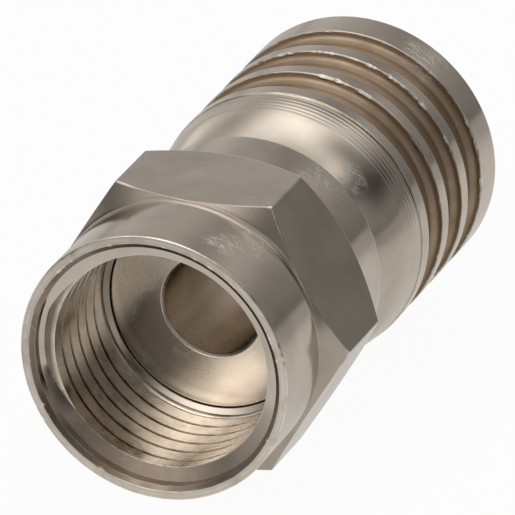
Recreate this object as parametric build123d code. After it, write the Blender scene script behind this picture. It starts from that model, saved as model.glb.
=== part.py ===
from build123d import *
import math
import os

# A crimp plug for coaxial cable. A hexagonal coupling nut spins on the neck of a flanged post, held
# between the post's flange and a crimp body that is pressed on the neck behind it.
# All sizes are millimetres. Each profile is drawn in the XY plane as (radius, station) points and turned
# about Y, where a station is the distance from the plug's mouth along its axis.

# Coupling nut, inside: radii and radial steps, from the thread outwards
thread_minor_radius = 4.38
thread_length = 4.5
relief_step = 0.17
relief_length = 0.12
flange_bore_step = 0.18
flange_bore_bevel_length = 0.13
entry_step = 0.55
entry_depth = 0.65
entry_bevel_length = 0.35
mouth_chamfer_step = 0.24
mouth_chamfer_length = 0.16

# Coupling nut, outside
rim_width = 0.29
rim_bevel = 0.05
front_collar_length = 3.34
front_collar_step = 0.095
collar_root_radius = 0.4
hex_length = 4.95
hex_edge_radius = 0.08
front_chamfer_angle = 54.0
rear_chamfer_angle = 44.0
rear_collar_step = 0.385
nut_length = 10.49

# Inner post
core_bore_radius = 2.0
core_bore_bevel = 0.1
flange_depth = 5.85
flange_thickness = 1.2
flange_edge_bevel = 0.06
neck_wall = 0.95
tube_wall = 0.35
barb_height = 0.2
barb_pitch = 1.4
barb_count = 3
post_end_recess = 1.0

# Crimp body
hub_length = 2.6
hub_nose_drop = 0.95
flare_length = 3.33
flare_end_step = 0.05
land_width = 0.64
land_edge_bevel = 0.04
groove_pitch = 2.107
groove_count = 3
groove_depth = 0.45
groove_corner_radius = 0.12
wall_under_groove = 0.8
last_land_width = 1.53
sleeve_mouth_bevel = 0.2

# Clearances between the pieces
running_clearance = 0.06
flange_clearance = 0.08
nut_end_play = 0.12

# Radii that follow: the nut takes a 7/16 in wrench, and the lands lie level with its flats
relief_radius = thread_minor_radius + relief_step
flange_bore_radius = thread_minor_radius - flange_bore_step
entry_radius = thread_minor_radius + entry_step
mouth_radius = entry_radius + mouth_chamfer_step
front_collar_radius = mouth_radius + rim_width
across_flats = 2 * (front_collar_radius + front_collar_step)
vertex_radius = across_flats / 2 / math.cos(math.radians(30))
rear_collar_radius = across_flats / 2 - rear_collar_step
flange_radius = flange_bore_radius - flange_clearance
neck_radius = core_bore_radius + neck_wall
tube_radius = core_bore_radius + tube_wall
barb_radius = tube_radius + barb_height
nut_rear_bore_radius = neck_radius + running_clearance
land_radius = across_flats / 2
flare_end_radius = land_radius - flare_end_step
hub_nose_radius = land_radius - hub_nose_drop
groove_floor_radius = land_radius - groove_depth
sleeve_bore_radius = groove_floor_radius - wall_under_groove

# Stations that follow
thread_start = entry_depth + entry_bevel_length
thread_end = thread_start + thread_length
relief_end = thread_end + relief_length
root_reach = collar_root_radius * math.tan(math.radians(front_chamfer_angle / 2))
root_start = front_collar_length - root_reach
rear_hex_corner = front_collar_length + hex_length
flange_rear = flange_depth + flange_thickness
nut_shoulder = flange_rear + nut_end_play
hub_front = nut_length + nut_end_play
hub_rear = hub_front + hub_length
first_land = hub_front + flare_length
plug_length = first_land + groove_count * groove_pitch + last_land_width
post_end = plug_length - post_end_recess


def turned(*edges):
    """A solid turned about the plug's axis from the edges of one closed profile."""
    return revolve(make_face(edges), Axis.Y)


def turned_outline(*points):
    """A solid turned about the plug's axis from a closed outline of straight lines."""
    return turned(Polyline(*points, close=True))


def hexagon_section():
    """The nut's hexagon between its collars, both ends turned to a cone, the front one with a round root."""
    front_rise = (vertex_radius - front_collar_radius) / math.tan(math.radians(front_chamfer_angle))
    rear_fall = (vertex_radius - rear_collar_radius) / math.tan(math.radians(rear_chamfer_angle))
    root = (front_collar_radius, root_start)
    cone_start = (
        front_collar_radius + root_reach * math.sin(math.radians(front_chamfer_angle)),
        front_collar_length + root_reach * math.cos(math.radians(front_chamfer_angle)),
    )
    rest = Polyline(
        cone_start,
        (vertex_radius, front_collar_length + front_rise),
        (vertex_radius, rear_hex_corner - rear_fall),
        (rear_collar_radius, rear_hex_corner),
        (0, rear_hex_corner),
        (0, root_start),
        root,
    )
    cones = turned(TangentArc(root, cone_start, tangent=(0, 1)), rest)
    outline = RegularPolygon(radius=across_flats / 2, side_count=6, major_radius=False, rotation=30)
    outline = fillet(outline.vertices(), hex_edge_radius)
    across_axis = Plane(origin=(0, root_start, 0), x_dir=(0, 0, 1), z_dir=(0, 1, 0))
    return extrude(across_axis * outline, amount=rear_hex_corner - root_start) & cones


def nut_outside():
    """The nut without its hole: two collars and the hexagon."""
    front_collar = turned_outline(
        (0, 0),
        (front_collar_radius - rim_bevel, 0),
        (front_collar_radius, rim_bevel),
        (front_collar_radius, root_start),
        (0, root_start),
    )
    rear_collar = turned_outline(
        (0, rear_hex_corner),
        (rear_collar_radius, rear_hex_corner),
        (rear_collar_radius, nut_length - rim_bevel),
        (rear_collar_radius - rim_bevel, nut_length),
        (0, nut_length),
    )
    return front_collar + hexagon_section() + rear_collar


def nut_hole():
    """The space inside the nut: chamfered mouth, entry, threaded wall, relief, flange bore and rear bore."""
    return turned_outline(
        (0, 0),
        (mouth_radius, 0),
        (entry_radius, mouth_chamfer_length),
        (entry_radius, entry_depth),
        (thread_minor_radius, thread_start),
        (thread_minor_radius, thread_end),
        (relief_radius, thread_end),
        (relief_radius, relief_end),
        (flange_bore_radius, relief_end + flange_bore_bevel_length),
        (flange_bore_radius, nut_shoulder),
        (nut_rear_bore_radius, nut_shoulder),
        (nut_rear_bore_radius, nut_length),
        (0, nut_length),
    )


def barb_points():
    """The saw-tooth outline of the barbs, from the last one forwards to the plain tube."""
    points = []
    for barb in range(barb_count):
        tip = post_end - barb * barb_pitch
        points.append((tube_radius, tip))
        points.append((barb_radius, tip - barb_pitch))
    points.append((tube_radius, post_end - barb_count * barb_pitch))
    return points


def inner_post():
    """The post: a flange inside the nut, the neck the nut spins on, and a barbed tube for the braid."""
    return turned_outline(
        (core_bore_radius + core_bore_bevel, flange_depth),
        (flange_radius - flange_edge_bevel, flange_depth),
        (flange_radius, flange_depth + flange_edge_bevel),
        (flange_radius, flange_rear),
        (neck_radius, flange_rear),
        (neck_radius, hub_rear),
        (tube_radius, hub_rear),
        *reversed(barb_points()),
        (core_bore_radius, post_end),
        (core_bore_radius, flange_depth + core_bore_bevel),
    )


def sleeve_groove(start):
    """The ring of metal turned away between two lands, with rounded corners at its floor."""
    width = groove_pitch - land_width
    over_land = 2 * (land_radius - groove_floor_radius)
    ring = Pos(groove_floor_radius, start) * Rectangle(over_land, width, align=(Align.MIN, Align.MIN))
    floor_corners = ring.vertices().group_by(Axis.X)[0]
    return revolve(fillet(floor_corners, groove_corner_radius), Axis.Y)


def crimp_body():
    """The body: a hub pressed on the post's neck, a flare and the grooved sleeve."""
    flare = TangentArc((flare_end_radius, first_land), (hub_nose_radius, hub_front), tangent=(0, -1))
    rest = Polyline(
        (hub_nose_radius, hub_front),
        (neck_radius, hub_front),
        (neck_radius, hub_rear),
        (sleeve_bore_radius, hub_rear),
        (sleeve_bore_radius, plug_length - sleeve_mouth_bevel),
        (sleeve_bore_radius + sleeve_mouth_bevel, plug_length),
        (land_radius - land_edge_bevel, plug_length),
        (land_radius, plug_length - land_edge_bevel),
        (land_radius, first_land + land_edge_bevel),
        (flare_end_radius, first_land),
    )
    body = turned(flare, rest)
    for groove in range(groove_count):
        body -= sleeve_groove(first_land + land_width + groove * groove_pitch)
    return body


# The origin is under the middle of the plug, on the surface that it lies on.
placed = Pos(0, -plug_length / 2, land_radius)
pieces = {
    "coupling_nut": nut_outside() - nut_hole(),
    "inner_post": inner_post(),
    "crimp_body": crimp_body(),
}

os.makedirs("parts", exist_ok=True)
for name, piece in pieces.items():
    export_step(placed * piece, os.path.join("parts", name + ".step"))
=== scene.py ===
"""The looks of a coaxial crimp plug: its threaded coupling nut, flanged post and grooved body in scuffed nickel.

Sizes are millimetres in the classes' fields and become metres when a mesh is made. A station is a distance
along the plug's axis from its mouth, and a column is an angle round that axis, from the top towards +X.
FLAT is the angle that one flat of the hexagon spans, EDGE_HOLD how far beyond a rounded edge its plain rings
lie, in widths of the rounding, and EDGE_SHARE the largest share of a side that the rounding takes.
"""

import logging
import math
from dataclasses import dataclass, field
from enum import Enum

import bmesh
import bpy
import numpy as np
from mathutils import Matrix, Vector


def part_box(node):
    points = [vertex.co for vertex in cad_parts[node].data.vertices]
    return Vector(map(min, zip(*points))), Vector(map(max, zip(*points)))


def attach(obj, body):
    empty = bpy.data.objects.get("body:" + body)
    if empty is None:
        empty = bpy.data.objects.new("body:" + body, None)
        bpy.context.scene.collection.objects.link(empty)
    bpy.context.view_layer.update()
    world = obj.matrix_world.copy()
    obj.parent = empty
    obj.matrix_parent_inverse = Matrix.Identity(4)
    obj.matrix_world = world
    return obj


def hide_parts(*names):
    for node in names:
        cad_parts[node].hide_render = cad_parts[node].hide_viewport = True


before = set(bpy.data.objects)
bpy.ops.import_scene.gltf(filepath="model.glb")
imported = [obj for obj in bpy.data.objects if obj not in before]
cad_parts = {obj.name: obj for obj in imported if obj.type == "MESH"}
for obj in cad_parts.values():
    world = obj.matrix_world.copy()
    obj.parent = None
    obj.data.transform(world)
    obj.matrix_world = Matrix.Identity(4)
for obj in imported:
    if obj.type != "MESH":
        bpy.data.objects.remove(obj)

MM = 0.001
PHOTO_SIDE = 515
WELD_DISTANCE = 2e-7
SHARP_ANGLE = math.radians(40)
FLAT = math.radians(60)
EDGE_HOLD = 1.6
EDGE_SHARE = 0.45

log = logging.getLogger("plug")


class Body(Enum):
    """The CAD bodies that the pieces ride on."""

    NUT = "nut"
    PLUG = "plug_body"


@dataclass(frozen=True)
class PlugAxis:
    """Where the plug's axis lies in the frame.

    Args:
        mouth: the mouth's place along +Y, in metres.
        height: the axis's height over the floor, in metres.
    """

    mouth: float
    height: float

    @classmethod
    def from_frame(cls) -> "PlugAxis":
        """The axis as the CAD nut's box gives it."""
        low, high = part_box("coupling_nut")
        return cls(mouth=low[1], height=(low[2] + high[2]) / 2)

    def point(self, x: float, station: float, z: float) -> Vector:
        """A place given in millimetres from the mouth's centre, in the frame's metres."""
        return Vector((x * MM, self.mouth + station * MM, self.height + z * MM))


@dataclass
class Skin:
    """A closed skin of rings round the axis, each with a radius and a station at every column.

    Args:
        name: the piece's name.
        columns: the columns' angles, rising from 0 to under a full turn.
    """

    name: str
    columns: np.ndarray
    radii: list[np.ndarray] = field(default_factory=list)
    stations: list[np.ndarray] = field(default_factory=list)
    wear: list[np.ndarray] = field(default_factory=list)
    brown_and_shade: list[np.ndarray] = field(default_factory=list)
    helices: list[tuple[int, int, int]] = field(default_factory=list)

    def spread(self, value: float | np.ndarray) -> np.ndarray:
        """A number, or one number a column, as one number a column.

        Args:
            value: one number, or one a column.

        Returns:
            One number a column.
        """
        return np.broadcast_to(np.asarray(value, dtype=float), self.columns.shape)

    def ring(self, radius: float | np.ndarray, station: float | np.ndarray, wear: float | np.ndarray = 0.0,
             brown_and_shade: float | np.ndarray = 0.0) -> None:
        """Adds one ring.

        Args:
            radius: its radius, one number or one a column.
            station: its station, one number or one a column.
            wear: how far its edge is rubbed bright, 0 to 1.
            brown_and_shade: how brown its plate is and how much shade is painted on it, 0 to 1.
        """
        self.radii.append(self.spread(radius))
        self.stations.append(self.spread(station))
        self.wear.append(self.spread(wear))
        self.brown_and_shade.append(self.spread(brown_and_shade))

    def edge(self, before: tuple, corner: tuple, after: tuple, width: float | np.ndarray,
             wear: float | np.ndarray = 1.0, steps: int = 3, stains: tuple = (0.0, 0.0)) -> None:
        """Adds the rings of one rounded edge, with a plain ring on each side to hold the shading.

        Args:
            before: (radius, station) of the profile's point before the edge.
            corner: (radius, station) of the edge if it were sharp.
            after: (radius, station) of the profile's point after it.
            width: how far the rounding reaches along each side.
            wear: how far it is rubbed bright.
            steps: the number of faces across the rounding.
            stains: how brown the plate is, and how much shade is painted on it, on the sides before and after it.
        """
        corner_r, corner_s = self.spread(corner[0]), self.spread(corner[1])
        reaches = []
        for side in (before, after):
            run_r, run_s = self.spread(side[0]) - corner_r, self.spread(side[1]) - corner_s
            length = np.hypot(run_r, run_s)
            reach = np.minimum(width, EDGE_SHARE * length) / np.maximum(length, 1e-9)
            reaches.append((run_r * reach, run_s * reach))
        (in_r, in_s), (out_r, out_s) = reaches
        self.ring(corner_r + in_r * EDGE_HOLD, corner_s + in_s * EDGE_HOLD, brown_and_shade=stains[0])
        for step in range(steps + 1):
            t = step / steps
            near, far = (1 - t) ** 2, t ** 2
            self.ring(corner_r + near * in_r + far * out_r, corner_s + near * in_s + far * out_s, wear,
                      (1 - t) * stains[0] + t * stains[1])
        self.ring(corner_r + out_r * EDGE_HOLD, corner_s + out_s * EDGE_HOLD, brown_and_shade=stains[1])

    def helix(self, radii: np.ndarray, stations: np.ndarray, wear: np.ndarray, brown_and_shade: np.ndarray,
              rows_a_turn: int) -> None:
        """Adds a helical strip, whose seam joins each row to the one a whole turn further on.

        Args:
            radii: the radius at each row and column.
            stations: the station at each row and column, the first and last rows each lying at one station.
            wear: how far it is rubbed bright at each row and column.
            brown_and_shade: how brown it is, and how much shade is painted on it, at each row and column.
            rows_a_turn: by how many rows the strip shifts at the seam, with its sign.
        """
        first = len(self.radii)
        for radius, station, rubbed, brown in zip(radii, stations, wear, brown_and_shade):
            self.ring(radius, station, rubbed, brown)
        self.helices.append((first, len(self.radii) - 1, rows_a_turn))

    def seam_row(self, row: int, pair: int) -> int:
        """The row that a row's last column meets at the seam.

        Args:
            row: the row's number.
            pair: the number of the lower row of the pair that a face spans.

        Returns:
            The number of the row met there.
        """
        for first, last, shift in self.helices:
            if first <= pair < last:
                return min(max(row + shift, first), last)
        return row

    def build(self, axis: PlugAxis) -> bpy.types.Object:
        """Makes the skin's mesh.

        Args:
            axis: where the plug's axis lies.

        Returns:
            The piece, linked to the scene.
        """
        radii, stations = np.array(self.radii) * MM, np.array(self.stations) * MM
        rows, count = radii.shape
        places = np.stack([
            radii * np.sin(self.columns),
            axis.mouth + stations,
            axis.height + radii * np.cos(self.columns),
        ], axis=-1).reshape(-1, 3)
        faces = []
        for row in range(rows):
            after = (row + 1) % rows
            here, there = row * count, after * count
            seam_here, seam_there = row * count, after * count
            if after:
                seam_here = self.seam_row(row, row) * count
                seam_there = self.seam_row(after, row) * count
            faces.extend((here + c, here + c + 1, there + c + 1, there + c) for c in range(count - 1))
            faces.append((here + count - 1, seam_here, seam_there, there + count - 1))
        mesh = bpy.data.meshes.new(self.name)
        mesh.from_pydata(places.tolist(), [], faces)
        for label, marks in (("wear", self.wear), ("brown_and_shade", self.brown_and_shade)):
            layer = mesh.attributes.new(label, "FLOAT", "POINT")
            layer.data.foreach_set("value", np.array(marks, dtype=np.float32).ravel())
        work = bmesh.new()
        work.from_mesh(mesh)
        bmesh.ops.remove_doubles(work, verts=work.verts, dist=WELD_DISTANCE)
        bmesh.ops.dissolve_degenerate(work, edges=work.edges, dist=WELD_DISTANCE)
        work.to_mesh(mesh)
        work.free()
        mesh.polygons.foreach_set("use_smooth", [True] * len(mesh.polygons))
        mesh.set_sharp_from_angle(angle=SHARP_ANGLE)
        piece = bpy.data.objects.new(self.name, mesh)
        bpy.context.scene.collection.objects.link(piece)
        return piece


@dataclass(frozen=True)
class Unevenness:
    """Seeded uneven numbers round a ring, such as the nicks along an edge.

    Args:
        seed: the seed of its random draws.
        knots: how many draws it has round the ring, for each layer.
        weights: how much each layer counts.
    """

    seed: int
    knots: tuple[int, ...] = (40, 150, 420)
    weights: tuple[float, ...] = (0.4, 0.35, 0.25)

    def at(self, columns: np.ndarray) -> np.ndarray:
        """The uneven numbers, 0 to 1, at the columns' angles.

        Args:
            columns: the columns' angles.

        Returns:
            The uneven number at each column.
        """
        draws = np.random.RandomState(self.seed)
        total = np.zeros_like(columns)
        for knots, weight in zip(self.knots, self.weights):
            values = draws.random_sample(knots)
            total += weight * np.interp(columns, np.linspace(0, 2 * math.pi, knots + 1), np.append(values, values[0]))
        return total

    def nicks(self, columns: np.ndarray, share: float) -> np.ndarray:
        """Zero along most of the ring, rising to 1 in separate nicks.

        Args:
            columns: the columns' angles.
            share: about the share of the ring that the nicks take.

        Returns:
            The depth of the nicks at each column.
        """
        level = self.at(columns)
        floor = np.quantile(level, 1 - share)
        return np.clip((level - floor) / max(level.max() - floor, 1e-9), 0, 1)


def even_columns(count: int) -> np.ndarray:
    """The angles of evenly spaced columns.

    Args:
        count: how many columns there are.

    Returns:
        Their angles, rising from 0.
    """
    return np.arange(count) * (2 * math.pi / count)


@dataclass
class CouplingNut:
    """The nut: a hexagon between two collars, with its internal thread. Lengths are stations' differences."""

    across_flats: float = 11.11
    vertex_rub_and_highlight_reach: float = 10.0
    hex_edge_radius: float = 0.08
    hex_rear_corner: float = 8.29
    front_collar_radius: float = 5.46
    front_collar_length: float = 3.34
    front_chamfer_angle: float = 54.0
    rear_chamfer_angle: float = 44.0
    collar_root_radius: float = 0.4
    rear_collar_radius: float = 5.17
    rear_collar_middle: float = 9.4
    rear_root_width: float = 0.12
    length: float = 10.49
    mouth_radius: float = 5.14
    mouth_chamfer_length: float = 0.16
    entry_radius: float = 4.93
    entry_depth: float = 0.5
    thread_start: float = 0.68
    thread_end: float = 5.5
    thread_minor_radius: float = 4.38
    thread_major_radius: float = 4.7625
    thread_pitch: float = 25.4 / 32
    thread_lead_in_turn: float = 0.03
    thread_crest_half: float = 0.39
    thread_flank_end: float = 0.46
    thread_fade: float = 0.55
    relief_radius: float = 4.55
    relief_end: float = 5.62
    flange_bore_radius: float = 4.20
    flange_bore_start: float = 5.75
    shoulder: float = 7.17
    rear_bore_radius: float = 3.01
    edge_width: float = 0.035
    rim_bevel: float = 0.06
    rim_wear: float = 0.7
    rim_nick_depth: float = 0.05
    cone_dark_brown: float = 0.4
    cone_rings: int = 12
    crest_wear: float = 0.8
    full_groove_shade_depth: float = 0.1
    inside_painted_shade: float = 0.9
    relief_edge: float = 0.02
    columns_a_flat: int = 60

    def columns(self) -> np.ndarray:
        """The columns' angles: even across each flat, and close together at the hexagon's edges.

        Returns:
            Their angles, rising from 0.
        """
        corner_offsets = np.radians([0.0, 0.18, 0.36, 0.62])
        first, last = corner_offsets[-1], FLAT - corner_offsets[-1]
        across = np.linspace(first, last, self.columns_a_flat)
        one = np.concatenate([corner_offsets[:-1], across, FLAT - corner_offsets[-2:0:-1]])
        return np.sort(np.concatenate([(one + k * FLAT + FLAT / 2) % (2 * math.pi) for k in range(6)]))

    def hexagon_radius(self, columns: np.ndarray) -> np.ndarray:
        """The hexagon's radius at each column, with its edges rounded.

        Args:
            columns: the columns' angles.

        Returns:
            The radius at each column.
        """
        from_middle = np.abs((columns + FLAT / 2) % FLAT - FLAT / 2)
        plain = self.across_flats / 2 / np.cos(from_middle)
        from_edge = FLAT / 2 - from_middle
        centre = (self.across_flats / 2 - self.hex_edge_radius) / math.cos(FLAT / 2)
        under_root = self.hex_edge_radius ** 2 - (centre * np.sin(from_edge)) ** 2
        rounded = centre * np.cos(from_edge) + np.sqrt(np.maximum(under_root, 0))
        reach = math.atan2(self.hex_edge_radius / 2, centre + self.hex_edge_radius * math.cos(FLAT / 2))
        return np.where(from_edge < reach, rounded, plain)

    def beside_vertex(self, columns: np.ndarray, reach: float) -> np.ndarray:
        """1 just after each of the hexagon's edges, falling to 0 at the reach in degrees, and 0 before it.

        Args:
            columns: the columns' angles.
            reach: how far it reaches, in degrees.

        Returns:
            The share at each column.
        """
        after_edge = np.degrees((columns - FLAT / 2) % FLAT)
        return np.where(after_edge > 59, 1.0, np.clip(1.6 * (1 - after_edge / reach), 0, 1))

    def front_station(self, radius: np.ndarray) -> np.ndarray:
        """The station at which the front cone, with its round root, has a radius.

        Args:
            radius: the radii, from the front collar's outwards.

        Returns:
            The station for each radius.
        """
        angle = math.radians(self.front_chamfer_angle)
        reach = self.collar_root_radius * math.tan(angle / 2)
        rise = radius - self.front_collar_radius
        under_root = self.collar_root_radius ** 2 - (self.collar_root_radius - rise) ** 2
        root = self.front_collar_length - reach + np.sqrt(np.maximum(under_root, 0))
        return np.where(rise < reach * math.sin(angle), root, self.front_collar_length + rise / math.tan(angle))

    def add_outside(self, skin: Skin) -> None:
        """Adds the rim, the collars and the hexagon, from the mouth to the rear face.

        Args:
            skin: the skin that the rings go into.
        """
        hexagon = self.hexagon_radius(skin.columns)
        collar, rear = self.front_collar_radius, self.rear_collar_radius
        nicks = Unevenness(11).nicks(skin.columns, 0.16)
        rim_bevel = self.rim_bevel * (0.55 + 0.5 * Unevenness(12).at(skin.columns)) + self.rim_nick_depth * nicks
        front_crease = self.front_station(hexagon)
        rear_crease = self.hex_rear_corner - (hexagon - rear) / math.tan(math.radians(self.rear_chamfer_angle))
        # Beside each hexagon edge the crease is widened and lightened: rubbed, and partly a painted highlight along
        # the crease.
        rubbed = self.beside_vertex(skin.columns, self.vertex_rub_and_highlight_reach)
        crease_width = self.edge_width * (1 + 1.2 * rubbed)
        skin.ring((self.mouth_radius + collar) / 2, 0, wear=self.rim_wear)
        skin.edge((self.mouth_radius, 0), (collar, 0), (collar, 1.0), rim_bevel)
        for station in np.linspace(0.3, self.front_station(np.array(collar)) - 0.02, 6):
            skin.ring(collar, station)
        # From its third ring on, the front cone is darker and browner.
        for step in range(self.cone_rings):
            radius = collar + (hexagon - self.edge_width - collar) * (step / self.cone_rings) ** 2
            skin.ring(radius, self.front_station(radius), brown_and_shade=self.cone_dark_brown if step > 1 else 0.0)
        before = hexagon - 2.5 * self.edge_width
        skin.edge((before, self.front_station(before)), (hexagon, front_crease), (hexagon, rear_crease),
                  crease_width, wear=rubbed, stains=(self.cone_dark_brown, 0))
        for share in (0.2, 0.5, 0.8):
            skin.ring(hexagon, front_crease + (rear_crease - front_crease) * share)
        skin.edge((hexagon, front_crease), (hexagon, rear_crease), (rear, self.hex_rear_corner), self.edge_width,
                  wear=0.5 * rubbed)
        skin.edge((hexagon, rear_crease), (rear, self.hex_rear_corner), (rear, self.length), self.rear_root_width,
                  wear=0.0)
        middle = (rear, self.rear_collar_middle)
        skin.ring(*middle)
        skin.edge(middle, (rear, self.length), (self.rear_bore_radius, self.length), self.rim_bevel)

    def thread_radius(self, turn: np.ndarray) -> np.ndarray:
        """The thread's form, 0 at its crest and 1 at its root, for a place in turns along the axis.

        Args:
            turn: the places, in turns along the axis.

        Returns:
            The thread's depth at each place, 0 to 1.
        """
        from_crest = np.abs((turn + 0.5) % 1 - 0.5)
        flank = self.thread_flank_end - self.thread_crest_half
        return np.clip((from_crest - self.thread_crest_half) / flank, 0, 1)

    def add_thread(self, skin: Skin) -> None:
        """Adds the threaded wall as one right-handed helical strip, and the step from its start to the entry.

        Args:
            skin: the skin that the rings go into.
        """
        crest, root = self.thread_crest_half, self.thread_flank_end
        half = np.array([0.12, 0.25, crest - 0.03, crest, (crest + root) / 2, root])
        rows_in_turn = np.concatenate([[0.0], half, [0.5], 1 - half[::-1]])
        turns = math.ceil((self.thread_end - self.entry_depth) / self.thread_pitch) + 1
        steps = np.concatenate([rows_in_turn + turn for turn in range(-1, turns + 1)]) - self.thread_lead_in_turn
        around = skin.columns / (2 * math.pi)
        free = self.entry_depth + (steps[:, None] + around[None, :]) * self.thread_pitch
        stations = np.clip(free, self.thread_start, self.thread_end)
        turn = (stations - self.entry_depth) / self.thread_pitch - around[None, :]
        depth = self.thread_major_radius - self.thread_minor_radius
        run_out = np.clip((self.thread_end - stations) / self.thread_fade, 0, 1)
        wall = self.thread_minor_radius + depth * run_out * self.thread_radius(turn + self.thread_lead_in_turn)
        # Painted shade in the thread's grooves: they turn dark brown as they deepen, fully so at this depth, while
        # the crests between them are rubbed bright.
        grooves = np.clip((wall - self.thread_minor_radius) / self.full_groove_shade_depth, 0, 1)
        wear = self.crest_wear * (1 - grooves)
        skin.helix(wall[::-1], stations[::-1], wear[::-1], grooves[::-1], -len(rows_in_turn))
        # Painted shade: the entry's wall turns dark brown along the bottom of the hole.
        brown = self.inside_painted_shade * self.low_side(skin.columns)
        for share in (0.0, 0.06, 0.5, 0.94, 1.0):
            skin.ring(wall[0] + (self.entry_radius - wall[0]) * share,
                      self.thread_start + (self.entry_depth - self.thread_start) * share, brown_and_shade=brown)

    def low_side(self, columns: np.ndarray) -> np.ndarray:
        """1 along the bottom of the hole, falling to 0 at its sides."""
        return np.clip((-np.cos(columns) - 0.15) / 0.6, 0, 1)

    def add_inside(self, skin: Skin) -> None:
        """Adds the rear bore, the shoulder, the flange's bore, the thread, the entry and the mouth's chamfer.

        Args:
            skin: the skin that the rings go into.
        """
        bore, entry = self.rear_bore_radius, self.entry_radius
        relief = (self.relief_radius, self.relief_end)
        around = (self.flange_bore_radius, self.flange_bore_start)
        inner = (self.flange_bore_radius, self.shoulder)
        skin.edge((bore + 1, self.length), (bore, self.length), (bore, self.shoulder), self.edge_width)
        skin.edge((bore, self.length), (bore, self.shoulder), inner, self.edge_width, wear=0.0)
        # Painted shade: the shoulder's corner is dark brown all round, and the flange's bore and the relief darken
        # away from the bottom of the hole.
        brown = self.inside_painted_shade * (1 - self.low_side(skin.columns))
        skin.edge((bore, self.shoulder), inner, around, self.edge_width, wear=0.0, stains=(1, 1))
        skin.edge(inner, around, relief, 0.015, wear=0.0, stains=(brown, brown))
        skin.edge(around, relief, (self.relief_radius, self.thread_end), self.relief_edge, wear=0.0,
                  stains=(brown, brown))
        skin.ring(self.relief_radius, self.thread_end + 0.005, brown_and_shade=brown)
        self.add_thread(skin)
        chamfer = (self.entry_radius, self.mouth_chamfer_length)
        burrs = Unevenness(13).nicks(skin.columns, 0.12)
        lip = 0.02 + 0.05 * burrs
        skin.ring(entry, self.entry_depth - 0.02)
        # Painted shade on the mouth's chamfer: dark brown between the entry and the mouth's lip.
        skin.edge((entry, self.entry_depth), chamfer, (self.mouth_radius, 0), 0.02, wear=0.4, stains=(0, 1))
        skin.edge(chamfer, (self.mouth_radius, 0), (self.front_collar_radius, 0), lip, wear=0.5 + burrs,
                  stains=(1, 0))

    def build(self, axis: PlugAxis) -> bpy.types.Object:
        """Builds the nut.

        Args:
            axis: where the plug's axis lies.

        Returns:
            The nut's piece, standing for its CAD node.
        """
        skin = Skin("coupling_nut_detail", self.columns())
        self.add_outside(skin)
        self.add_inside(skin)
        piece = skin.build(axis)
        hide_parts("coupling_nut")
        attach(piece, Body.NUT.value)
        return piece


@dataclass
class InnerPost:
    """The post: a flange inside the nut, a neck and a barbed tube, with the core's bore right through."""

    core_bore_radius: float = 2.0
    core_bore_bevel: float = 0.1
    flange_depth: float = 5.85
    flange_rear: float = 7.05
    flange_radius: float = 4.17
    neck_radius: float = 2.95
    neck_end: float = 13.21
    tube_radius: float = 2.35
    barb_radius: float = 2.55
    barb_pitch: float = 1.4
    barb_count: int = 3
    end: float = 20.791
    edge_width: float = 0.04
    column_count: int = 288

    def profile(self) -> list[tuple[float, float, float]]:
        """The post's outline as (radius, station, edge width), from the flange's face round to the bore.

        Returns:
            Its corners in order, each to be joined to the next.
        """
        bore, bevel = self.core_bore_radius, self.core_bore_bevel
        corners = [
            (bore + bevel, self.flange_depth, 0.02),
            (self.flange_radius, self.flange_depth, 0.03),
            (self.flange_radius, self.flange_rear, self.edge_width),
            (self.neck_radius, self.flange_rear, self.edge_width),
            (self.neck_radius, self.neck_end, self.edge_width),
            (self.tube_radius, self.neck_end, self.edge_width),
        ]
        for barb in reversed(range(self.barb_count)):
            root = self.end - (barb + 1) * self.barb_pitch
            corners.append((self.tube_radius, root, 0.02))
            corners.append((self.barb_radius, root, 0.02))
        corners += [
            (self.tube_radius, self.end, self.edge_width),
            (bore, self.end, self.edge_width),
            (bore, self.flange_depth + bevel, 0.02),
        ]
        return corners

    def build(self, axis: PlugAxis) -> bpy.types.Object:
        """Builds the post.

        Args:
            axis: where the plug's axis lies.

        Returns:
            The post's piece, standing for its CAD node.
        """
        skin = Skin("inner_post_detail", even_columns(self.column_count))
        corners = self.profile()
        for before, here, after in zip([corners[-1]] + corners[:-1], corners, corners[1:] + [corners[0]]):
            skin.edge(before[:2], here[:2], after[:2], here[2])
        piece = skin.build(axis)
        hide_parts("inner_post")
        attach(piece, Body.PLUG.value)
        return piece


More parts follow.
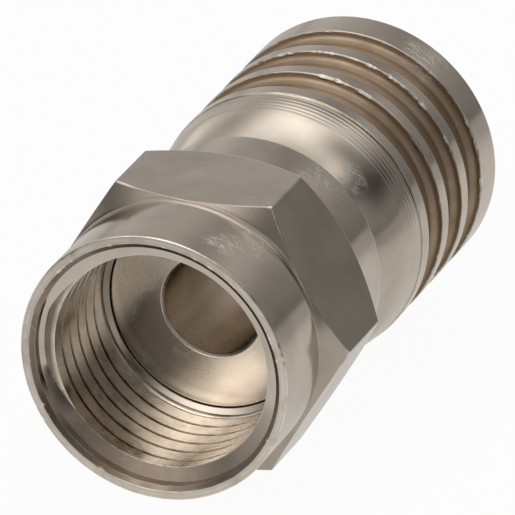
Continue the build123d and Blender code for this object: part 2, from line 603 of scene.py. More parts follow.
@dataclass
class CrimpBody:
    """The crimp body: a hub, a flare with its last tool rings, and a sleeve of four lands and three grooves."""

    hub_front: float = 10.61
    hub_rear: float = 13.21
    hub_bore_radius: float = 2.95
    hub_nose_radius: float = 4.605
    first_land: float = 13.94
    flare_end_radius: float = 5.505
    land_radius: float = 5.555
    land_width: float = 0.64
    groove_pitch: float = 2.107
    groove_count: int = 3
    groove_floor_radius: float = 5.105
    groove_corner: float = 0.14
    groove_sweep: float = 0.3
    end: float = 21.791
    sleeve_bore_radius: float = 4.305
    sleeve_mouth_bevel: float = 0.2
    tool_rings_start: float = 12.8
    tool_ring_pitch: float = 0.21
    tool_ring_depth: float = 0.007
    edge_width: float = 0.045
    nick_depth: float = 0.07
    nicked_share: float = 0.3
    land_edge_wear: float = 0.6
    column_count: int = 520

    def flare_radius(self, station: float) -> float:
        """The flare's radius at a station: an arc that ends along the axis at the first land.

        Args:
            station: the station.

        Returns:
            The radius there.
        """
        drop = self.flare_end_radius - self.hub_nose_radius
        run = self.first_land - self.hub_front
        arc = (run ** 2 + drop ** 2) / (2 * drop)
        return self.flare_end_radius - arc + math.sqrt(arc ** 2 - (self.first_land - station) ** 2)

    def add_flare(self, skin: Skin) -> None:
        """Adds the hub's front face, the flare and the tool rings up to the first land.

        Args:
            skin: the skin that the rings go into.
        """
        nose = (self.hub_nose_radius, self.hub_front)
        beyond = self.hub_front + 0.4
        skin.edge((self.hub_bore_radius, self.hub_front), nose, (self.flare_radius(beyond), beyond), 0.06)
        for station in np.linspace(self.hub_front + 0.15, self.tool_rings_start, 18):
            skin.ring(self.flare_radius(station), station)
        rings = round((self.first_land - self.tool_rings_start) / self.tool_ring_pitch)
        pitch = (self.first_land - self.tool_rings_start) / rings
        for ring in range(rings):
            for share, dip in ((0.12, 0.9), (0.24, 0.35), (0.5, 0.0), (0.76, 0.35), (0.88, 0.9), (1.0, 1.0)):
                station = self.tool_rings_start + (ring + share) * pitch
                if station < self.first_land - 0.02:
                    skin.ring(self.flare_radius(station) - dip * self.tool_ring_depth, station)

    def add_land(self, skin: Skin, number: int) -> None:
        """Adds one land, with its ragged front edge, and the groove behind it where it has one.

        Args:
            skin: the skin that the rings go into.
            number: the land's number from the front, from 0.
        """
        front = self.first_land + number * self.groove_pitch
        is_last = number == self.groove_count
        rear = self.end if is_last else front + self.land_width
        foot = self.flare_end_radius - self.tool_ring_depth if number == 0 else self.groove_floor_radius
        rough = Unevenness(30 + number)
        nicks = rough.nicks(skin.columns, self.nicked_share)
        width = self.edge_width * (0.5 + rough.at(skin.columns)) + self.nick_depth * nicks
        if number == 0:
            width = np.minimum(width, self.edge_width)
            skin.ring(foot, front)
        skin.edge((foot, front), (self.land_radius, front), (self.land_radius, rear), width,
                  wear=self.land_edge_wear + nicks, stains=(0 if number == 0 else 1, 0))
        skin.ring(self.land_radius, (front + rear) / 2)
        if is_last:
            skin.edge((self.land_radius, front), (self.land_radius, rear), (self.sleeve_bore_radius, rear), 0.05)
            return
        behind = front + self.groove_pitch
        floor = self.groove_floor_radius
        # The groove's floor and corners are brown: partly the plate's own brass tint, partly painted shade in the
        # recess.
        skin.edge((self.land_radius, front), (self.land_radius, rear), (floor, rear), 0.03, wear=0.5, stains=(0, 1))
        wall, middle = (self.land_radius, behind), (floor, (rear + behind) / 2)
        skin.edge((self.land_radius, rear), (floor, rear), middle, self.groove_corner, wear=0.0, steps=4,
                  stains=(1, 1))
        skin.ring(floor, middle[1], brown_and_shade=1)
        self.add_sweep(skin, (floor, behind), wall)

    def add_sweep(self, skin: Skin, corner: tuple[float, float], wall: tuple[float, float]) -> None:
        """Adds the round sweep from a groove's floor up the front of the next land.

        Args:
            skin: the skin that the rings go into.
            corner: (radius, station) where the floor and that front would meet.
            wall: (radius, station) of the land's edge.
        """
        reach = self.groove_sweep
        # The sweep is brown: partly the plate's brass tint, partly painted shade in the groove.
        for angle in np.radians(np.linspace(0, 90, 9)):
            radius = corner[0] + reach * (1 - math.cos(angle))
            skin.ring(radius, corner[1] - reach * (1 - math.sin(angle)), brown_and_shade=1)
        skin.ring(wall[0] - 0.11, wall[1], brown_and_shade=1)

    def add_bore(self, skin: Skin) -> None:
        """Adds the sleeve's bevelled mouth, its bore, the hub's rear face and the hub's bore.

        Args:
            skin: the skin that the rings go into.
        """
        bore, bevel = self.sleeve_bore_radius, self.sleeve_mouth_bevel
        mouth = (bore + bevel, self.end)
        inner = (bore, self.end - bevel)
        deep = (bore, self.hub_rear)
        hub_rear = (self.hub_bore_radius, self.hub_rear)
        hub_front = (self.hub_bore_radius, self.hub_front)
        skin.edge((self.land_radius, self.end), mouth, inner, 0.04)
        skin.edge(mouth, inner, deep, 0.04)
        skin.edge(inner, deep, hub_rear, 0.08, wear=0.0)
        skin.edge(deep, hub_rear, hub_front, 0.03, wear=0.0)
        skin.edge(hub_rear, hub_front, (self.hub_nose_radius, self.hub_front), 0.03, wear=0.0)

    def build(self, axis: PlugAxis) -> bpy.types.Object:
        """Builds the body.

        Args:
            axis: where the plug's axis lies.

        Returns:
            The body's piece, standing for its CAD node.
        """
        skin = Skin("crimp_body_detail", even_columns(self.column_count))
        self.add_flare(skin)
        for number in range(self.groove_count + 1):
            self.add_land(skin, number)
        self.add_bore(skin)
        piece = skin.build(axis)
        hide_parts("crimp_body")
        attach(piece, Body.PLUG.value)
        return piece


class NodeLine:
    """Adds nodes to one node tree, joined as they are made."""

    def __init__(self, tree: bpy.types.NodeTree) -> None:
        """Keeps the tree."""
        self.tree = tree

    def node(self, kind: str, **settings: object) -> bpy.types.Node:
        """Adds a node with its settings.

        Args:
            kind: the node's type.
            settings: the values of its settings.

        Returns:
            The node.
        """
        node = self.tree.nodes.new(kind)
        for key, value in settings.items():
            setattr(node, key, value)
        return node

    def fill(self, node: bpy.types.Node, values: tuple) -> bpy.types.Node:
        """Sets a node's inputs in order, each from a socket or a plain value.

        Args:
            node: the node.
            values: what goes into its inputs, from the first one.

        Returns:
            The same node.
        """
        for slot, value in enumerate(values):
            if isinstance(value, bpy.types.NodeSocket):
                self.tree.links.new(value, node.inputs[slot])
            else:
                node.inputs[slot].default_value = value
        return node

    def math(self, operation: str, *values: object) -> bpy.types.NodeSocket:
        """A math node's result, its inputs each a socket or a number."""
        return self.fill(self.node("ShaderNodeMath", operation=operation), values).outputs[0]

    def vector(self, operation: str, *values: object) -> bpy.types.Node:
        """A vector math node."""
        return self.fill(self.node("ShaderNodeVectorMath", operation=operation), values)

    def ramp(self, value: bpy.types.NodeSocket, low: float, high: float) -> bpy.types.NodeSocket:
        """A smooth step from 0 at low to 1 at high.

        Args:
            value: what is read.
            low: where the step starts.
            high: where it ends.

        Returns:
            The step's value.
        """
        node = self.node("ShaderNodeMapRange", interpolation_type="SMOOTHSTEP")
        return self.fill(node, (value, low, high)).outputs["Result"]

    def combine(self, x: object, y: object, z: object) -> bpy.types.NodeSocket:
        """A vector of three values, each a socket or a number."""
        return self.fill(self.node("ShaderNodeCombineXYZ"), (x, y, z)).outputs[0]

    def placed(self, group: bpy.types.NodeTree, **values: float) -> bpy.types.Node:
        """Places a shared group with a finish's own values.

        Args:
            group: the shared group.
            values: its inputs' numbers, by their names with underscores for spaces.

        Returns:
            The group's node.
        """
        node = self.node("ShaderNodeGroup", node_tree=group)
        for label, value in values.items():
            node.inputs[label.replace("_", " ")].default_value = value
        return node

    def toned(self, under: object, over: tuple[float, float, float],
              share: bpy.types.NodeSocket) -> bpy.types.NodeSocket:
        """Lays a tone over another.

        Args:
            under: the tone below, a colour or a socket.
            over: the tone above.
            share: how far the upper one covers the lower.

        Returns:
            The mixed tone.
        """
        node = self.node("ShaderNodeMix", data_type="RGBA", clamp_factor=True)
        colours = [socket for socket in node.inputs if socket.type == "RGBA"]
        if isinstance(under, bpy.types.NodeSocket):
            self.tree.links.new(under, colours[0])
        else:
            colours[0].default_value = (*under, 1)
        colours[1].default_value = (*over, 1)
        self.tree.links.new(share, node.inputs[0])
        return next(socket for socket in node.outputs if socket.type == "RGBA")


class GroupBuilder(NodeLine):
    """Builds one shared shader node group with named sockets."""

    def __init__(self, name: str, inputs: dict[str, float], outputs: tuple[str, ...]) -> None:
        """Starts the group.

        Args:
            name: the group's name.
            inputs: each input's name and default number.
            outputs: the outputs' names.
        """
        super().__init__(bpy.data.node_groups.new(name, "ShaderNodeTree"))
        for label, default in inputs.items():
            socket = self.tree.interface.new_socket(label, in_out="INPUT", socket_type="NodeSocketFloat")
            socket.default_value = default
        for label in outputs:
            self.tree.interface.new_socket(label, in_out="OUTPUT", socket_type="NodeSocketFloat")
        self.source = self.tree.nodes.new("NodeGroupInput")
        self.sink = self.tree.nodes.new("NodeGroupOutput")

    def given(self, label: str) -> bpy.types.NodeSocket:
        """The group's input of that name."""
        return self.source.outputs[label]

    def give(self, label: str, value: bpy.types.NodeSocket) -> None:
        """Sends a value to the group's output of that name."""
        self.tree.links.new(value, self.sink.inputs[label])

    def noise(self, place: bpy.types.NodeSocket, scale: object, detail: float = 2.0) -> bpy.types.NodeSocket:
        """A noise texture's value, about 0.5.

        Args:
            place: where it is read.
            scale: its scale, a socket or a number.
            detail: its octaves.

        Returns:
            The noise, 0 to 1.
        """
        node = self.node("ShaderNodeTexNoise")
        for label, value in (("Vector", place), ("Scale", scale), ("Detail", detail)):
            if isinstance(value, bpy.types.NodeSocket):
                self.tree.links.new(value, node.inputs[label])
            else:
                node.inputs[label].default_value = value
        return node.outputs["Fac"]

    def plug_place(self, axis: PlugAxis) -> tuple[bpy.types.NodeSocket, ...]:
        """Where the shaded point is on the plug.

        Args:
            axis: where the plug's axis lies.

        Returns:
            Its place in millimetres from the mouth's centre, its place on the plate rolled out flat, and a place
            whose first number runs along the turned profile and whose others go once round the axis.
        """
        shift = self.vector("SUBTRACT", self.node("ShaderNodeTexCoord").outputs["Object"],
                            (0, axis.mouth, axis.height))
        scale = self.node("ShaderNodeVectorMath", operation="SCALE")
        self.tree.links.new(shift.outputs[0], scale.inputs[0])
        scale.inputs["Scale"].default_value = 1 / MM
        parts = self.node("ShaderNodeSeparateXYZ")
        self.tree.links.new(scale.outputs[0], parts.inputs[0])
        x, station, z = parts.outputs
        radius = self.math("SQRT", self.math("ADD", self.math("MULTIPLY", x, x), self.math("MULTIPLY", z, z)))
        along = self.math("ADD", station, radius)
        round_place = self.combine(along, self.math("DIVIDE", x, radius), self.math("DIVIDE", z, radius))
        unrolled = self.combine(along, self.math("MULTIPLY", self.math("ARCTAN2", x, z), radius), 0.0)
        return scale.outputs[0], unrolled, round_place


class FinishGroups:
    """The node groups that the plug's three nickel finishes share."""

    def __init__(self, axis: PlugAxis) -> None:
        """Builds the groups.

        Args:
            axis: where the plug's axis lies.
        """
        self.turning = self.turning_lines(axis)
        self.scuffs = self.scuff_marks(axis)
        self.spot = self.scuffed_spot(axis)
        self.stains = self.tone_patches(axis)
        self.rubbing = self.rubbed_edges(axis)
        self.brown_shading = self.brown_plate_and_shade(axis)

    def turning_lines(self, axis: PlugAxis) -> bpy.types.NodeTree:
        """Fine lines left by the lathe's tool, running round the axis.

        Args:
            axis: where the plug's axis lies.

        Returns:
            The node group.
        """
        group = GroupBuilder("turning_lines", {"Lines a mm": 12.0, "Waviness": 0.2}, ("Height",))
        _, _, place = group.plug_place(axis)
        waves = group.given("Waviness")
        stretch = group.vector("MULTIPLY", place, group.combine(group.given("Lines a mm"), waves, waves))
        group.give("Height", group.noise(stretch.outputs[0], 1.0, 3.0))
        return group.tree

    def scuff_marks(self, axis: PlugAxis) -> bpy.types.NodeTree:
        """Short straight scratches that run much the same way, bright specks, pits, and where they gather.

        Args:
            axis: where the plug's axis lies.

        Returns:
            The node group.
        """
        outputs = ("Scratches", "Specks", "Pits", "Clusters", "Patchy")
        group = GroupBuilder("scuff_marks", {"Stroke turn": 1.5}, outputs)
        place, unrolled, _ = group.plug_place(axis)
        strokes = None
        for turn, length, width, layer in ((-0.3, 0.5, 0.05, 0.0), (0.05, 0.9, 0.045, 7.0), (0.45, 0.4, 0.055, 15.0)):
            spin = group.node("ShaderNodeMapping", vector_type="TEXTURE")
            spin.inputs["Location"].default_value = (layer, 2 * layer, layer)
            spin.inputs["Scale"].default_value = (length, width, 1)
            group.tree.links.new(unrolled, spin.inputs["Vector"])
            group.tree.links.new(group.combine(0.0, 0.0, group.math("ADD", group.given("Stroke turn"), turn)),
                                 spin.inputs["Rotation"])
            stroke = group.ramp(group.noise(spin.outputs[0], 1.0, 0.0), 0.6, 0.72)
            strokes = stroke if strokes is None else group.math("MAXIMUM", strokes, stroke)
        patchy = group.ramp(group.noise(place, 1.5, 2.0), 0.36, 0.66)
        group.give("Scratches", group.math("MULTIPLY", strokes, patchy))
        group.give("Specks", group.math("MULTIPLY", group.ramp(group.noise(place, 11.0, 1.0), 0.66, 0.72), patchy))
        group.give("Pits", group.ramp(group.noise(place, 8.5, 1.0), 0.7, 0.76))
        group.give("Clusters", group.ramp(group.noise(place, 0.55, 1.0), 0.5, 0.7))
        group.give("Patchy", patchy)
        return group.tree

    def scuffed_spot(self, axis: PlugAxis) -> bpy.types.NodeTree:
        """A soft spot round one place of the plug, given by its middle in millimetres and its reach.

        Args:
            axis: where the plug's axis lies.

        Returns:
            The node group.
        """
        inputs = {"Across": 0.0, "Station": 0.0, "Height": 0.0, "Reach": 1.0}
        group = GroupBuilder("scuffed_spot", inputs, ("Mask",))
        place, _, _ = group.plug_place(axis)
        middle = group.combine(*(group.given(label) for label in ("Across", "Station", "Height")))
        apart = group.vector("DISTANCE", place, middle)
        share = group.math("DIVIDE", apart.outputs["Value"], group.given("Reach"))
        group.give("Mask", group.math("SUBTRACT", 1.0, group.ramp(share, 0.35, 1.0)))
        return group.tree

    def tone_patches(self, axis: PlugAxis) -> bpy.types.NodeTree:
        """Slow and fine changes of tone and shine over the plate.

        Args:
            axis: where the plug's axis lies.

        Returns:
            The node group.
        """
        group = GroupBuilder("tone_patches", {"Patch scale": 0.5, "Grain scale": 22.0}, ("Patches", "Grain"))
        place, _, _ = group.plug_place(axis)
        group.give("Patches", group.noise(place, group.given("Patch scale"), 3.0))
        group.give("Grain", group.noise(place, group.given("Grain scale"), 2.0))
        return group.tree

    def rubbed_edges(self, axis: PlugAxis) -> bpy.types.NodeTree:
        """Edges rubbed bright, broken up along their length.

        Args:
            axis: where the plug's axis lies.

        Returns:
            The node group.
        """
        group = GroupBuilder("rubbed_edges", {"Amount": 1.0}, ("Mask",))
        place, _, _ = group.plug_place(axis)
        edge = group.node("ShaderNodeAttribute", attribute_name="wear")
        broken = group.ramp(group.noise(place, 1.6, 2.0), 0.3, 0.6)
        mask = group.math("MULTIPLY", edge.outputs["Fac"], broken)
        group.give("Mask", group.math("MULTIPLY", mask, group.given("Amount")))
        return group.tree

    def brown_plate_and_shade(self, axis: PlugAxis) -> bpy.types.NodeTree:
        """Where the plate is brown, and where shade is painted in hollows and bores, uneven within itself.

        Args:
            axis: where the plug's axis lies.

        Returns:
            The node group.
        """
        group = GroupBuilder("brown_plate_and_shade", {"Amount": 1.0}, ("Mask",))
        place, _, _ = group.plug_place(axis)
        brown_shade_attribute = group.node("ShaderNodeAttribute", attribute_name="brown_and_shade")
        uneven = group.math("ADD", group.math("MULTIPLY", group.noise(place, 0.8, 2.0), 0.7), 0.55)
        mask = group.math("MULTIPLY", brown_shade_attribute.outputs["Fac"], uneven)
        group.give("Mask", group.math("MULTIPLY", mask, group.given("Amount")))
        return group.tree


@dataclass(frozen=True)
class ScuffedSpot:
    """A place on the plug that has been knocked.

    Args:
        station: its station in millimetres.
        angle: its angle round the axis in degrees.
        radius: its radius in millimetres.
        reach: how far it reaches in millimetres.
    """

    station: float
    angle: float
    radius: float
    reach: float


@dataclass(frozen=True)
class NickelFinish:
    """One piece's nickel plate.

    Args:
        name: the material's name.
        tone: the plate's colour.
        worn_tone: its colour where it is grey.
        brown_and_shade_tone: its colour where it is brown, and the colour of the shade painted in hollows and bores.
        bright_tone: its colour where it is rubbed or scratched; on the nut's front collar and along its hexagon's
            creases it partly paints a highlight.
        roughness: its roughness where it is brightest.
        dullness: what stains and grain add to the roughness.
        brown_and_shade_dullness: what the brown and the painted shade add to the roughness.
        lines: how many turning lines a millimetre has.
        line_height: how deep they are, in millimetres.
        waviness: how much they change round the axis.
        scuff_amount: how marked its scratches are, 0 to 1.
        stroke_turn: which way they run, in radians, 0 along the axis and half pi round it.
        haze: how much its knocked places are dulled, 0 to 1.
        pit_amount: how marked its pits are, 0 to 1.
        rub_amount: how bright its edges are rubbed, 0 to 1.
        brown_and_shade_amount: how strong its brown and its painted shade are, 0 to 1.
        patch_scale: how close its patches of tone lie.
        grain_scale: how fine its grain is.
        patch_level: the patch noise's value above which the plate is grey.
        patch_contrast: how steeply it turns grey.
        mark_dullness: what scratches and specks add to the roughness.
        rub_dullness: what rubbing adds to the roughness.
        grain_height: how high the plate's grain is, in millimetres.
        mark_depth: how deep scratches and specks are, in millimetres.
        pit_depth: how deep pits are, in millimetres.
        spots: the places that have been knocked.
    """

    name: str
    tone: tuple[float, float, float] = (0.68, 0.61, 0.53)
    worn_tone: tuple[float, float, float] = (0.55, 0.49, 0.42)
    brown_and_shade_tone: tuple[float, float, float] = (0.40, 0.29, 0.19)
    bright_tone: tuple[float, float, float] = (0.88, 0.84, 0.77)
    roughness: float = 0.07
    dullness: float = 0.06
    brown_and_shade_dullness: float = 0.2
    lines: float = 9.0
    line_height: float = 0.0012
    waviness: float = 0.35
    scuff_amount: float = 0.12
    stroke_turn: float = 1.5
    haze: float = 0.06
    pit_amount: float = 0.3
    rub_amount: float = 1.0
    brown_and_shade_amount: float = 0.9
    patch_scale: float = 0.45
    grain_scale: float = 26.0
    patch_level: float = 0.42
    patch_contrast: float = 3.0
    mark_dullness: float = 0.3
    rub_dullness: float = 0.1
    grain_height: float = 0.0008
    mark_depth: float = 0.005
    pit_depth: float = 0.003
    spots: tuple[ScuffedSpot, ...] = ()

    def material(self, groups: FinishGroups) -> bpy.types.Material:
        """Makes the material.

        Args:
            groups: the shared node groups.

        Returns:
            The finish's material.
        """
        material = bpy.data.materials.new(self.name)
        material.use_nodes = True
        tree = material.node_tree
        line = NodeLine(tree)
        shader = tree.nodes["Principled BSDF"]
        shader.inputs["Metallic"].default_value = 1.0

        turning = line.placed(groups.turning, Lines_a_mm=self.lines, Waviness=self.waviness)
        scuffs = line.placed(groups.scuffs, Stroke_turn=self.stroke_turn)
        stains = line.placed(groups.stains, Patch_scale=self.patch_scale, Grain_scale=self.grain_scale)
        rubbing = line.placed(groups.rubbing, Amount=self.rub_amount)
        brown_shading = line.placed(groups.brown_shading, Amount=self.brown_and_shade_amount)
        knocked = line.math("MULTIPLY", scuffs.outputs["Clusters"], self.scuff_amount)
        for spot in self.spots:
            angle = math.radians(spot.angle)
            mark = line.placed(groups.spot, Across=spot.radius * math.sin(angle), Station=spot.station,
                               Height=spot.radius * math.cos(angle), Reach=spot.reach)
            knocked = line.math("MAXIMUM", knocked, mark.outputs["Mask"])
        marks = line.math("MAXIMUM", scuffs.outputs["Scratches"], scuffs.outputs["Specks"])
        marks = line.math("MULTIPLY", marks, knocked)
        pits = line.math("MULTIPLY", scuffs.outputs["Pits"], self.pit_amount)
        haze = line.math("MULTIPLY", line.math("MULTIPLY", knocked, scuffs.outputs["Patchy"]), self.haze)
        rubbed = rubbing.outputs["Mask"]
        brown = brown_shading.outputs["Mask"]

        patch = line.math("MULTIPLY", line.math("SUBTRACT", stains.outputs["Patches"], self.patch_level),
                          self.patch_contrast)
        colour = line.toned(self.tone, self.worn_tone, line.math("MAXIMUM", patch, pits))
        # Brown where the plate is brown, and dark brown where shade is painted into hollows and bores.
        colour = line.toned(colour, self.brown_and_shade_tone, brown)
        # Rubbed edges, scratches and knocked places are lightened; on the nut's front collar and hexagon creases this
        # is partly a painted highlight.
        light = line.math("MAXIMUM", line.math("MAXIMUM", marks, rubbed), haze)
        colour = line.toned(colour, self.bright_tone, light)
        tree.links.new(colour, shader.inputs["Base Color"])

        dull = line.math("ADD", stains.outputs["Grain"], stains.outputs["Patches"])
        dull = line.math("ADD", line.math("MULTIPLY", dull, self.dullness), self.roughness)
        dull = line.math("ADD", dull, line.math("MULTIPLY", marks, self.mark_dullness))
        dull = line.math("ADD", dull, haze)
        dull = line.math("ADD", dull, line.math("MULTIPLY", brown, self.brown_and_shade_dullness))
        dull = line.math("ADD", dull, line.math("MULTIPLY", rubbed, self.rub_dullness))
        tree.links.new(dull, shader.inputs["Roughness"])

        height = line.math("MULTIPLY", turning.outputs["Height"], self.line_height)
        height = line.math("ADD", height, line.math("MULTIPLY", stains.outputs["Grain"], self.grain_height))
        height = line.math("SUBTRACT", height, line.math("MULTIPLY", marks, self.mark_depth))
        height = line.math("SUBTRACT", height, line.math("MULTIPLY", pits, self.pit_depth))
        bump = tree.nodes.new("ShaderNodeBump")
        bump.inputs["Distance"].default_value = MM
        tree.links.new(height, bump.inputs["Height"])
        tree.links.new(bump.outputs["Normal"], shader.inputs["Normal"])
        return material


# The nut's brown is dark: it paints shade in the thread's grooves, the entry, the mouth's chamfer and the bores, and
# darkens the front cone.
NUT_NICKEL = NickelFinish(
    name="nut_nickel_plate", brown_and_shade_tone=(0.2, 0.15, 0.115), spots=(
        ScuffedSpot(station=9.6, angle=37, radius=5.17, reach=1.5),
        # These two spots on the front collar lighten its plate: scuffs, and partly a painted highlight.
        ScuffedSpot(station=2.4, angle=31, radius=5.46, reach=1.1),
        ScuffedSpot(station=1.4, angle=24, radius=5.46, reach=1.0),
    ),
)
POST_NICKEL = NickelFinish(
    name="post_nickel_plate", roughness=0.12, dullness=0.12, lines=7.0, line_height=0.003, scuff_amount=0.3,
    pit_amount=0.5, rub_amount=0.8, spots=(ScuffedSpot(station=5.85, angle=-62, radius=3.2, reach=1.6),),
)
BODY_NICKEL = NickelFinish(
    name="body_nickel_plate", brown_and_shade_dullness=0.4, spots=(
        ScuffedSpot(station=20.9, angle=33, radius=5.55, reach=1.3),
        ScuffedSpot(station=11.6, angle=45, radius=5.05, reach=0.9),
    ),
)


@dataclass(frozen=True)
class LightRing:
    """Soft round patches of light at one height in the surroundings.

    Args:
        height: their height over the horizon in degrees.
        spread: how wide each one is in degrees.
        strengths: how bright each one is, by its direction round the plug in degrees, 0 at +Y and 90 at +X.
    """

    height: float
    spread: float
    strengths: dict[float, float]

    def ways(self) -> list[tuple[Vector, float]]:
        """Each patch's direction, with its strength.

        Returns:
            The directions and strengths, in the order they are given.
        """
        rise = math.radians(self.height)
        return [
            (Vector((math.sin(math.radians(turn)) * math.cos(rise), math.cos(math.radians(turn)) * math.cos(rise),
                     math.sin(rise))), strength)
            for turn, strength in self.strengths.items()
        ]


@dataclass
class Studio:
    """The pale floor, the soft surroundings and the camera.

    Args:
        floor_tone: the floor's own colour.
        floor_half_side: how far it reaches, in metres.
        floor_glow: how white the camera sees it, 0 to 1.
        floor_near_reach: between which distances its near brightness gives way to its far one, in metres.
        floor_sides: its direction in degrees, and its brightness there in reflections, near and far.
        even_light: the light from everywhere.
        light_tone: the colour of all the light.
        rings: the soft patches of light.
        camera_azimuth: the camera's direction in degrees, from the mouth's side towards +X.
        camera_elevation: its height in degrees.
        camera_distance: its distance in millimetres.
        camera_aim: the (x, station, z) that it looks at, in millimetres.
        focal_pixels: its focal length in the photograph's pixels.
        sensor: its sensor's width in millimetres.
    """

    floor_tone: tuple[float, float, float] = (0.9, 0.9, 0.9)
    floor_half_side: float = 3.0
    floor_glow: float = 0.95
    floor_near_reach: tuple[float, float] = (0.022, 0.07)
    floor_sides: tuple[tuple[float, float, float], ...] = (
        (0, 0.65, 0.41), (90, 0.6, 0.34), (180, 0.66, 0), (-90, 0.52, 0.75))
    even_light: float = 0.01
    light_tone: tuple[float, float, float] = (1.03, 1.0, 0.965)
    rings: tuple[LightRing, ...] = (
        LightRing(height=6, spread=12, strengths={
            144: 0.14, 108: 0.14, 90: 0.15, 72: 0.18, 54: 0.17, 36: 0.14, 18: 0.16, -18: 0.88, -36: 0.18, -54: 0.85,
            -90: 0.22, -108: 0.43, -144: 0.15, -162: 0.61,
        }),
        LightRing(height=22, spread=12, strengths={
            153: 0.16, 117: 0.32, 99: 0.45, 81: 0.13, 27: 0.18, -27: 0.14, -45: 0.43, -63: 0.25, -135: 0.48,
            -153: 1.65, -171: 1.52,
        }),
        LightRing(height=38, spread=12.5, strengths={
            135: 0.39, 45: 0.15, 22.5: 0.59, 0: 0.15, -22.5: 0.51, -45: 0.16, -67.5: 0.34, -90: 0.22, -112.5: 0.41,
            -135: 0.25, -157.5: 1.54, -180: 0.55,
        }),
        LightRing(height=54, spread=13, strengths={
            135: 0.27, 105: 0.19, 75: 0.74, 15: 0.51, -15: 1.01, -45: 0.54, -75: 0.46, -105: 0.43, -165: 0.45,
        }),
        LightRing(height=70, spread=14, strengths={
            154.3: 0.57, 51.4: 0.49, 0: 0.77, -51.4: 0.5, -102.9: 0.16, -154.3: 0.83,
        }),
    )
    camera_azimuth: float = 21.91
    camera_elevation: float = 25.13
    camera_distance: float = 450.0
    camera_aim: tuple[float, float, float] = (0.624, 9.0, 0.837)
    focal_pixels: float = 11699.4
    sensor: float = 36.0

    def floor_brightness(self, line: NodeLine) -> bpy.types.NodeSocket:
        """How bright the floor is in reflections: near the plug, and to each side farther off.

        Args:
            line: the floor material's nodes.

        Returns:
            The brightness.
        """
        place = line.tree.nodes.new("ShaderNodeNewGeometry").outputs["Position"]
        away = line.vector("NORMALIZE", place).outputs[0]
        close_by, far_off = self.floor_near_reach
        near = line.ramp(line.vector("LENGTH", place).outputs["Value"], far_off, close_by)
        total = 0.0
        for turn, close, far in self.floor_sides:
            way = (math.sin(math.radians(turn)), math.cos(math.radians(turn)), 0)
            facing = line.math("MAXIMUM", line.vector("DOT_PRODUCT", away, way).outputs["Value"], 0.0)
            strength = line.math("MULTIPLY_ADD", near, close - far, far)
            total = line.math("MULTIPLY_ADD", line.math("MULTIPLY", facing, facing), strength, total)
        return total

    def add_floor(self) -> None:
        """Adds the floor, which is white to the camera but keeps the shadow, and glows in reflections."""
        mesh = bpy.data.meshes.new("floor")
        side = self.floor_half_side
        corners = [(-side, -side, 0), (side, -side, 0), (side, side, 0), (-side, side, 0)]
        mesh.from_pydata(corners, [], [(0, 1, 2, 3)])
        floor = bpy.data.objects.new("floor", mesh)
        bpy.context.scene.collection.objects.link(floor)
        material = bpy.data.materials.new("white_floor")
        material.use_nodes = True
        tree = material.node_tree
        tree.nodes.remove(tree.nodes["Principled BSDF"])
        line = NodeLine(tree)
        plain = tree.nodes.new("ShaderNodeBsdfDiffuse")
        plain.inputs["Color"].default_value = (*self.floor_tone, 1)
        white = tree.nodes.new("ShaderNodeEmission")
        seen = tree.nodes.new("ShaderNodeEmission")
        seen.inputs["Color"].default_value = (*self.light_tone, 1)
        tree.links.new(self.floor_brightness(line), seen.inputs["Strength"])
        path = tree.nodes.new("ShaderNodeLightPath")
        to_camera = tree.nodes.new("ShaderNodeMixShader")
        line.fill(to_camera, (line.math("MULTIPLY", path.outputs["Is Camera Ray"], self.floor_glow),
                              plain.outputs[0], white.outputs[0]))
        mirrored = line.math("MAXIMUM", path.outputs["Is Glossy Ray"], path.outputs["Is Transmission Ray"])
        in_reflections = tree.nodes.new("ShaderNodeMixShader")
        line.fill(in_reflections, (mirrored, to_camera.outputs[0], seen.outputs[0]))
        tree.links.new(in_reflections.outputs[0], tree.nodes["Material Output"].inputs["Surface"])
        mesh.materials.append(material)

    def add_surroundings(self) -> None:
        """Adds the world: a faint even light and the soft lights."""
        world = bpy.data.worlds.new("surroundings")
        bpy.context.scene.world = world
        world.use_nodes = True
        line = NodeLine(world.node_tree)
        direction = world.node_tree.nodes.new("ShaderNodeTexCoord").outputs["Generated"]
        total = self.even_light
        for ring in self.rings:
            narrow = 1 / (1 - math.cos(math.radians(ring.spread)))
            for way, strength in ring.ways():
                facing = line.vector("DOT_PRODUCT", direction, way).outputs["Value"]
                glow = line.math("EXPONENT", line.math("MULTIPLY_ADD", facing, narrow, -narrow))
                total = line.math("MULTIPLY_ADD", glow, strength, total)
        background = world.node_tree.nodes["Background"]
        background.inputs["Color"].default_value = (*self.light_tone, 1)
        world.node_tree.links.new(total, background.inputs["Strength"])

    def add_camera(self, axis: PlugAxis) -> None:
        """Adds the camera at the photograph's viewing angle.

        Args:
            axis: where the plug's axis lies.
        """
        turn, rise = math.radians(self.camera_azimuth), math.radians(self.camera_elevation)
        back = Vector((math.sin(turn) * math.cos(rise), -math.cos(turn) * math.cos(rise), math.sin(rise)))
        data = bpy.data.cameras.new("camera")
        data.sensor_width = self.sensor
        data.lens = self.focal_pixels / PHOTO_SIDE * self.sensor
        data.clip_start = 0.01
        data.clip_end = 20.0
        camera = bpy.data.objects.new("camera", data)
        camera.location = axis.point(*self.camera_aim) + back * (self.camera_distance * MM)
        camera.rotation_euler = back.to_track_quat("Z", "Y").to_euler()
        bpy.context.scene.collection.objects.link(camera)
        bpy.context.scene.camera = camera


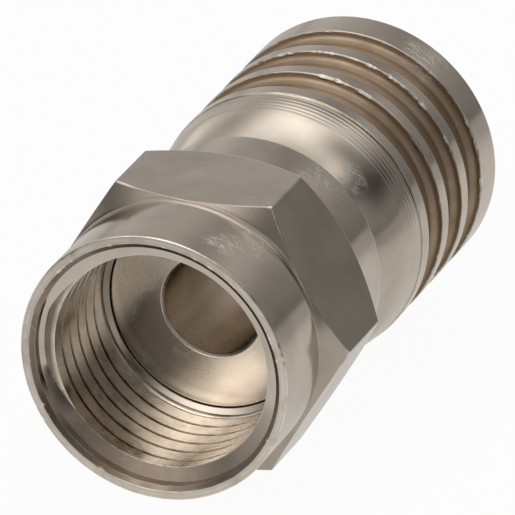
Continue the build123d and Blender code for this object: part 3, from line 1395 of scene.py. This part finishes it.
def main() -> None:
    """Builds the plug's pieces, their finishes and the studio."""
    logging.basicConfig(level=logging.INFO, format="%(name)s: %(message)s")
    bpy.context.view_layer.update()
    axis = PlugAxis.from_frame()
    groups = FinishGroups(axis)
    for maker, finish in ((CouplingNut(), NUT_NICKEL), (InnerPost(), POST_NICKEL), (CrimpBody(), BODY_NICKEL)):
        piece = maker.build(axis)
        piece.data.materials.append(finish.material(groups))
        log.info("%s has %d faces", piece.name, len(piece.data.polygons))
    studio = Studio()
    studio.add_floor()
    studio.add_surroundings()
    studio.add_camera(axis)
    bpy.context.scene.view_settings.view_transform = "Standard"


if __name__ == "__main__":
    main()
